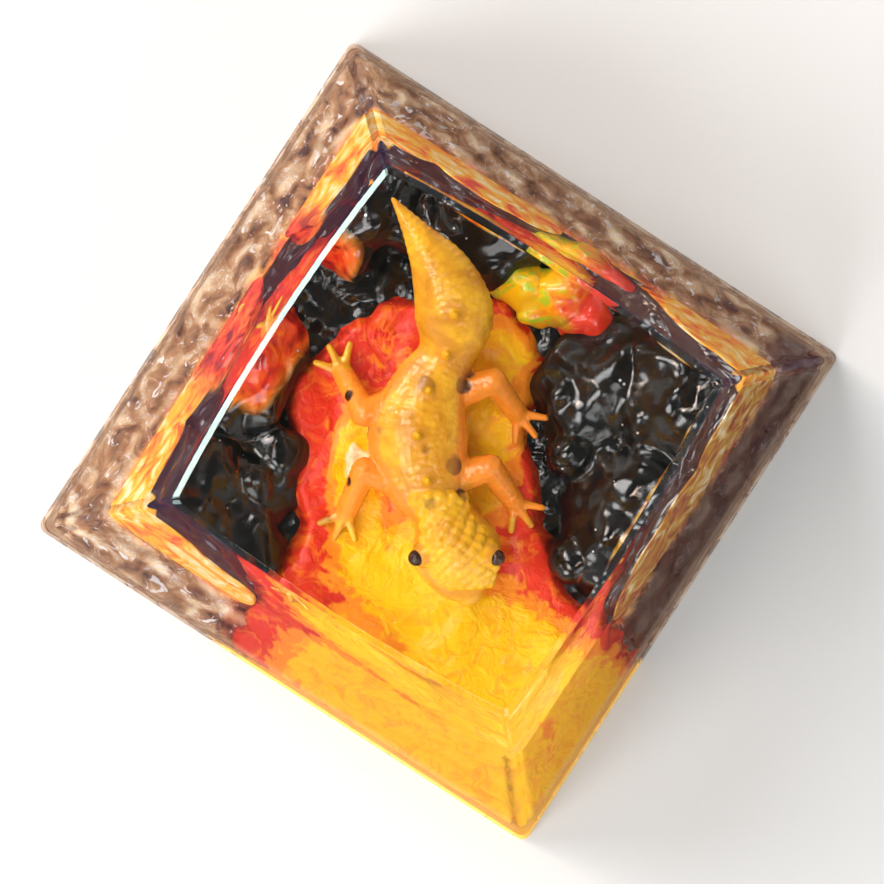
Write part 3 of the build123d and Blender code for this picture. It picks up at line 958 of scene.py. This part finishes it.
class KEYCAP_OT_lava_flow(bpy.types.Operator):
    """Poured lava between the rocks, running down over the front right corner"""

    bl_idname = "keycap.lava_flow"
    bl_label = "Lava flow"

    def execute(self, context):
        cap = CapForm()
        rows = WALL_ROWS

        def shape(u, w, row):
            if row == 0:
                return cap.wall(u, w, cap.lava_level, cap.skin + 0.15 * MM)
            if row == rows + 1:
                return cap.wall(u, w, SCENE_LOW, LAVA_TUCK)
            if row == rows + 2:
                return cap.wall(u, w, LAVA_TUCK_TOP, LAVA_TUCK)
            z = cap.lava_level + (SCENE_LOW - cap.lava_level) * (row - 0.5) / (rows - 0.5)
            return cap.wall(u, w, z, cap.skin)

        def wander(place):
            return noise.noise(place / (1.6 * MM)) * 0.5 + noise.noise(place / (0.6 * MM)) * 0.18

        def ripple(place):
            return noise.noise(place / (1.9 * MM)) * 0.22 + noise.noise(place / (0.8 * MM)) * 0.12

        bm, border = wrapped_sheet(150, rows + 2, shape, ease=0.1)
        bmesh.ops.edgeloop_fill(bm, edges=border)
        plan = np.array([vert.co.xy for vert in bm.verts]) / MM
        cover = inside_banks(plan, smooth_line(LAVA_BANKS))
        cover += np.array([wander(vert.co) for vert in bm.verts])
        stream = np.zeros(len(plan))
        for points, half in LAVA_STREAMS:
            near = 1 - line_distance(plan, smooth_line(points)) / half
            stream = np.maximum(stream, np.clip(near * 1.5, 0, 1))
        pale = np.clip(1 - np.linalg.norm(plan - LAVA_PALE_SPOT, axis=1) / LAVA_PALE_RADIUS, 0, 1)
        heat = 0.12 + 0.26 * np.clip(cover / 1.6, 0, 1) + 0.4 * stream + 0.35 * pale
        warmth = bm.verts.layers.float.new("warmth")
        along = bm.verts.layers.float["along"]
        across = bm.verts.layers.float["across"]
        depth = bm.verts.layers.float["depth"]
        for vert, inside, hot in zip(bm.verts, cover, heat):
            vert[warmth] = hot
            flow = ripple(vert.co)
            rise = blend_step(inside, -0.35, 0.55)
            foot = ROCK_TOP - SINK * MM
            row = round(vert[depth])
            if row == 0:
                vert.co.z = foot + rise * (cap.lava_level - ROCK_TOP + (SINK + flow) * MM)
            elif row <= rows:
                inset = max(cap.skin, cap.skin + (0.14 + 0.5 * flow) * MM) + (1 - rise) * 0.95 * MM
                sunk = min(vert.co.z, foot + rise * (cap.lava_level - ROCK_TOP + SINK * MM))
                vert.co = cap.wall(vert[along], vert[across], sunk, inset)
        piece("lava_pour", bm, lava_finish(), "lava_flow")
        return {"FINISHED"}


class KEYCAP_OT_lava_splash(bpy.types.Operator):
    """Yellow and red splash at the back wall"""

    bl_idname = "keycap.lava_splash"
    bl_label = "Lava splash"

    def execute(self, context):
        cap = CapForm()
        bm = bmesh.new()
        for (x, y), half in SPLASH_LUMPS:
            egg(bm, (x, y, ROCK_TOP / MM), half)
        mesh = grown_together("splash", bm, voxel=0.06 * MM)

        def swell(place):
            return noise.noise(place / (0.9 * MM)) * 0.3 * MM

        def settle(place):
            return cap.kept_inside(place, cap.skin + ROCK_GAP, ROCK_TOP - SPLASH_SINK * MM)

        heaved(mesh, swell, settle)
        piece("splash", mesh, splash_finish(), "lava_splash")
        return {"FINISHED"}


class KEYCAP_OT_lizard(bpy.types.Operator):
    """Small gold lizard that climbs over the lava, with a fat tail"""

    bl_idname = "keycap.lizard"
    bl_label = "Lizard"

    def ball(self, place, half, turn=0.0, steps=3):
        egg(self.bm, place, half, self.stand, turn, steps)

    def bead(self, place, radius, steps=2):
        self.ball(place, (radius, radius, radius), 0, steps)

    def trunk(self, line, widths):
        """Head, body and tail: overlapping slices along the spine."""
        for k, (place, (wide, high)) in enumerate(zip(line, widths)):
            ahead = line[min(k + 1, len(line) - 1)] - line[max(k - 1, 0)]
            self.ball(place, (wide, max(0.28, wide * 0.5), high), atan2(ahead[1], ahead[0]) - pi / 2)

    def leg(self, hip, knee, foot):
        """Thigh, shin and toes, as rows of beads."""
        for start, end, thick, thin in ((hip, knee, *LEG_RADII[:2]), (knee, foot, *LEG_RADII[1:])):
            for k in range(9):
                self.bead(Vector(start).lerp(Vector(end), k / 8), thick + (thin - thick) * k / 8)
        heading = Vector((foot[0] - knee[0], foot[1] - knee[1], 0)).normalized()
        for fan in TOE_FAN:
            step = Matrix.Rotation(radians(fan), 3, "Z") @ heading
            for k in range(1, 8):
                self.bead(Vector(foot) + step * (0.13 * k), 0.21 - 0.012 * k, 1)

    def warts(self, line, widths):
        """Rows of warts over head and neck, then a row of spikes along the back. Gives their places."""
        places = []
        for k in WART_POINTS:
            x, y, z = line[k]
            wide, high = widths[k]
            for column in range(WART_COLUMNS):
                side = (column - WART_COLUMNS // 2) * 0.33 + (0.16 if k % 2 else 0.0)
                places.append((x + side * wide, y, z + high * sqrt(1 - side * side) * 1.05))
                self.bead(places[-1], 0.25 - 0.07 * abs(side))
        for (x, y, z), _, high in SPIKE_STATIONS:
            for k in range(12):
                radius = high / 2 * (1 - k / 11) + 0.09 * k / 11
                self.bead((x, y, z + (high + SPIKE_RISE) * k / 11), radius)
            places.append((x, y, z + high + SPIKE_RISE))
        return places

    def painted(self, mesh, warts):
        """Marks where the paint is gold or spotted, the warts' tops for a painted highlight, and the
        grooves round them for a paint wash and painted shade.
        """
        names = ("gilt", "spotted", "warted", "groove")
        gilt, spotted, warted, groove = (mesh.attributes.new(name, "FLOAT", "POINT") for name in names)
        nearest = kdtree.KDTree(len(warts))
        for k, wart in enumerate(warts):
            nearest.insert(wart, k)
        nearest.balance()
        back = self.stand.inverted()
        for k, vert in enumerate(mesh.vertices):
            spot = back @ vert.co / MM
            far = nearest.find(spot)[2]
            # Painted highlight on the warts' tops, and a paint wash with painted shade in the grooves
            # round them
            warted.data[k].value = blend_step(far, 0.27, 0.2)
            groove.data[k].value = blend_step(far, 0.22, 0.3) * blend_step(far, 0.6, 0.4)
            head = blend_step(spot.y, -2.0, -2.8)
            tail = blend_step(spot.y, 1.9, 2.7)
            crown = blend_step(spot.z, 1.5, 1.95)
            gilt.data[k].value = max(head, tail, 0.75 * crown)
            spotted.data[k].value = (1 - head) * (1 - tail) * (1 - 0.6 * crown)

    def execute(self, context):
        cap = CapForm()
        self.bm = bmesh.new()
        self.stand = Matrix.Translation((0, 0, cap.lava_level)) @ Matrix.Rotation(LIZARD_TURN, 4, "Z")
        line = smooth_line([place for place, _, _ in SPINE], 6)
        widths = smooth_line([(wide, high) for _, wide, high in SPINE], 6)
        self.trunk(line, widths)
        for joints in LEGS:
            self.leg(*joints)
        warts = self.warts(line, widths)
        (x, y, z), wide, high = SPINE[EYE_STATION]
        for side in (-0.7, 0.7):
            self.ball((x + side * wide, y - 0.1, z + high * 0.62), (0.42, 0.42, 0.4))
        mesh = grown_together("lizard_body", self.bm, voxel=0.055 * MM)
        self.painted(mesh, warts)
        piece("lizard_body", mesh, lizard_finish(), "lizard")
        self.bm = bmesh.new()
        for side in (-0.88, 0.88):
            self.bead((x + side * wide, y - 0.2, z + high * 0.8), 0.26, 4)
        piece("lizard_eyes", self.bm, eye_finish(), None)
        return {"FINISHED"}


class KEYCAP_OT_stage(bpy.types.Operator):
    """Pale floor, soft lamps and the camera"""

    bl_idname = "keycap.stage"
    bl_label = "Stage"

    def lamp(self, name, place, size, tone, watts):
        data = bpy.data.lights.new(name, "AREA")
        data.shape = "DISK"
        data.size = size
        data.energy = watts
        data.color = tone
        made = bpy.data.objects.new(name, data)
        made.location = place
        made.rotation_euler = Vector(place).to_track_quat("Z", "Y").to_euler()
        bpy.context.scene.collection.objects.link(made)

    def sky(self, look):
        """Weak light from all round, darker overhead than near the horizon."""
        world = bpy.data.worlds.new("studio")
        world.use_nodes = True
        tree = world.node_tree
        way = tree.nodes.new("ShaderNodeTexCoord")
        split = tree.nodes.new("ShaderNodeSeparateXYZ")
        fall = tree.nodes.new("ShaderNodeMapRange")
        tree.links.new(way.outputs["Generated"], split.inputs[0])
        tree.links.new(split.outputs["Z"], fall.inputs["Value"])
        fall.inputs["From Min"].default_value = 0.3
        fall.inputs["From Max"].default_value = 0.85
        fall.inputs["To Min"].default_value = look.horizon
        fall.inputs["To Max"].default_value = look.overhead
        light = tree.nodes["Background"]
        tree.links.new(fall.outputs["Result"], light.inputs["Strength"])
        light.inputs["Color"].default_value = SKY_COLOUR
        bpy.context.scene.world = world

    def floor(self, look):
        bm = bmesh.new()
        bmesh.ops.create_grid(bm, x_segments=8, y_segments=8, size=1.5)
        mesh = bpy.data.meshes.new("floor")
        bm.to_mesh(mesh)
        bm.free()
        finish = Finish("pale floor")
        shade = finish.mix(finish.cloud(0.02, 3) * 0.1, look.floor, FLOOR_STAIN)
        mesh.materials.append(finish.done(Base_Color=shade, Roughness=0.9))
        floor = bpy.data.objects.new("floor", mesh)
        bpy.context.scene.collection.objects.link(floor)

    def camera(self, look):
        """Camera almost straight above, turned as the photograph is."""
        data = bpy.data.cameras.new("camera")
        camera = bpy.data.objects.new("camera", data)
        toward = Vector(TOWARD_CAMERA).normalized()
        right = Vector(PICTURE_UP).cross(toward).normalized()
        turn = Matrix((right, toward.cross(right), toward)).transposed().to_4x4()
        turn.translation = Vector(CAMERA_AIM) * MM + toward * look.distance
        camera.matrix_world = turn
        data.sensor_width = SENSOR
        data.lens = SENSOR * look.distance / MM * PIXELS_PER_MM / PICTURE_SIDE
        data.clip_start = 0.01
        bpy.context.scene.collection.objects.link(camera)
        bpy.context.scene.camera = camera

    def execute(self, context):
        look = context.scene.keycap_stage
        self.sky(look)
        self.floor(look)
        for name, (place, size, tone) in LAMPS.items():
            self.lamp(name, place, size, tone, getattr(look, name))
        self.camera(look)
        context.scene.view_settings.view_transform = "Standard"
        return {"FINISHED"}


class KEYCAP_PT_panel(bpy.types.Panel):
    """Lists the keycap's pieces, sizes and colours"""

    bl_idname = "KEYCAP_PT_panel"
    bl_label = "Resin keycap"
    bl_space_type = "VIEW_3D"
    bl_region_type = "UI"
    bl_category = "Keycap"

    def draw(self, context):
        for operator in OPERATORS:
            self.layout.operator(operator.bl_idname)
        for name in GROUPS:
            group = getattr(context.scene, name)
            box = self.layout.box()
            for key in group.__annotations__:
                box.prop(group, key)


GROUPS = {"keycap_sizes": KeycapSizes, "keycap_colours": KeycapColours, "keycap_stage": KeycapStage}
OPERATORS = [
    KEYCAP_OT_resin_block,
    KEYCAP_OT_backing,
    KEYCAP_OT_rock_bed,
    KEYCAP_OT_rocks,
    KEYCAP_OT_lava_flow,
    KEYCAP_OT_lava_splash,
    KEYCAP_OT_lizard,
    KEYCAP_OT_stage,
]


def register():
    for name, group in GROUPS.items():
        bpy.utils.register_class(group)
        setattr(bpy.types.Scene, name, bpy.props.PointerProperty(type=group))
    for operator in OPERATORS:
        bpy.utils.register_class(operator)
    bpy.utils.register_class(KEYCAP_PT_panel)


def unregister():
    bpy.utils.unregister_class(KEYCAP_PT_panel)
    for operator in reversed(OPERATORS):
        bpy.utils.unregister_class(operator)
    for name, group in GROUPS.items():
        delattr(bpy.types.Scene, name)
        bpy.utils.unregister_class(group)


def main():
    register()
    bpy.ops.keycap.stage()
    bpy.ops.keycap.resin_block()
    bpy.ops.keycap.backing()
    bpy.ops.keycap.rock_bed()
    bpy.ops.keycap.rocks()
    bpy.ops.keycap.lava_flow()
    bpy.ops.keycap.lava_splash()
    bpy.ops.keycap.lizard()


if __name__ == "__main__":
    main()
